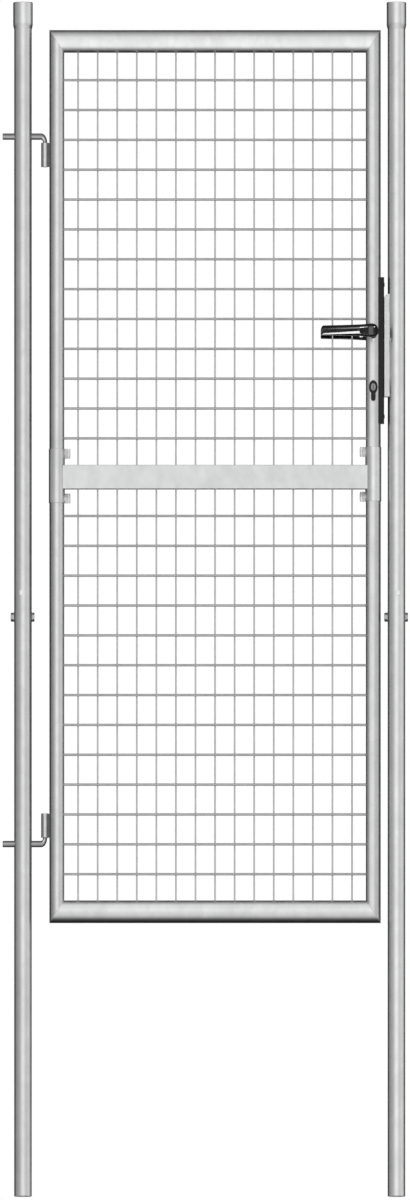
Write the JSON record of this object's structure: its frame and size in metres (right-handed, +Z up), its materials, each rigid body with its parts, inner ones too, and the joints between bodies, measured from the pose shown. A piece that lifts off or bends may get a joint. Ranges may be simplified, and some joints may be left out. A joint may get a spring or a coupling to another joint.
{
  "type": "garden gate",
  "caption": "Tube-framed garden gate with welded wire mesh, hung on bent hinge bolts between two round posts, with a lever lock and keep.",
  "frame": {"origin": "bottom centre of the gate's box, level with the feet of the posts", "axes": "+Z up, +X along the gate from the hinge post to the keep post, -Y is the side that the leaf opens to"},
  "size_m": [1.0358, 0.121, 2],
  "materials": {
    "galvanised_tube": "hot-dip galvanised, satin",
    "post_cap": "zinc plated, satin",
    "zinc_hardware": "zinc plated",
    "zinc_sheet": "galvanised sheet, matt",
    "mesh_wire": "galvanised wire",
    "black_metal": "black coating, satin",
    "black_plastic": "moulded, satin",
    "lever_black": "moulded, gloss",
    "lock_steel": "zinc plated",
    "plug_nickel": "nickel plated",
    "cam_brass": "bare"
  },
  "bodies": {
    "posts": {"post_left_lower": "galvanised_tube", "post_left_upper": "galvanised_tube", "post_right_lower": "galvanised_tube", "post_right_upper": "galvanised_tube", "post_joiners": "galvanised_tube", "post_caps": "post_cap", "post_bolts": "zinc_hardware", "post_nuts": "zinc_hardware", "post_washers": "zinc_hardware", "post_rivets": "zinc_hardware", "hinge_bolt_upper": "zinc_hardware", "hinge_bolt_lower": "zinc_hardware", "hinge_bushes": "lock_steel", "strike_keep": "zinc_sheet"},
    "leaf": {"top_rail": "galvanised_tube", "bottom_rail": "galvanised_tube", "stile_left_upper": "galvanised_tube", "stile_left_lower": "galvanised_tube", "stile_right_upper": "galvanised_tube", "stile_right_lower": "galvanised_tube", "mesh_upper_uprights": "mesh_wire", "mesh_upper_crosswires": "mesh_wire", "mesh_lower_uprights": "mesh_wire", "mesh_lower_crosswires": "mesh_wire", "crossbar": "zinc_sheet", "joint_sleeve_left": "galvanised_tube", "joint_sleeve_right": "galvanised_tube", "sleeve_nuts": "zinc_hardware", "sleeve_screws": "zinc_hardware", "hinge_barrels": "galvanised_tube", "hinge_lugs": "galvanised_tube", "lock_forend": "black_metal", "forend_screws": "black_metal", "lock_case": "lock_steel", "lock_case_cover": "lock_steel", "latch_spring": "lock_steel", "cylinder_body": "black_metal", "cylinder_plug_rear": "plug_nickel", "cylinder_screw": "black_metal", "key_escutcheons": "black_plastic", "lever_roses": "black_plastic"},
    "lever": {"lever_front": "lever_black", "lever_rear": "lever_black", "spindle": "lock_steel", "follower": "lock_steel", "grub_screws": "lock_steel"},
    "latch": {"latch_bolt": "black_metal"},
    "deadbolt": {"deadbolt": "black_metal"},
    "key_plug": {"cylinder_plug_front": "plug_nickel", "cylinder_cam": "cam_brass"}
  },
  "joints": [
    {"name": "leaf_swing", "type": "hinge", "parent": "posts", "child": "leaf", "pos_m": [-0.4095, 0, 1.2], "axis": [0, 0, -1], "range_deg": [0, 105]},
    {"name": "lever_turn", "type": "hinge", "parent": "leaf", "child": "lever", "pos_m": [0.4293, 0, 1.4465], "axis": [0, -1, 0], "range_deg": [0, 35], "stiffness_Nm_per_rad": 1.2, "springref_deg": -28.65},
    {"name": "latch_slide", "type": "slide", "parent": "leaf", "child": "latch", "axis": [-1, 0, 0], "range_m": [0, 0.009], "deforming": ["latch_spring"]},
    {"name": "key_turn", "type": "hinge", "parent": "leaf", "child": "key_plug", "pos_m": [0.4293, 0, 1.3545], "axis": [0, 1, 0], "range_deg": [0, 360]},
    {"name": "deadbolt_slide", "type": "slide", "parent": "leaf", "child": "deadbolt", "axis": [1, 0, 0], "range_m": [0, 0.014]}
  ],
  "couplings": [
    {"joint": "latch_slide", "follows": "lever_turn", "m_per_rad": 0.01473},
    {"joint": "key_turn", "follows": "deadbolt_slide", "rad_per_m": 448.79}
  ]
}
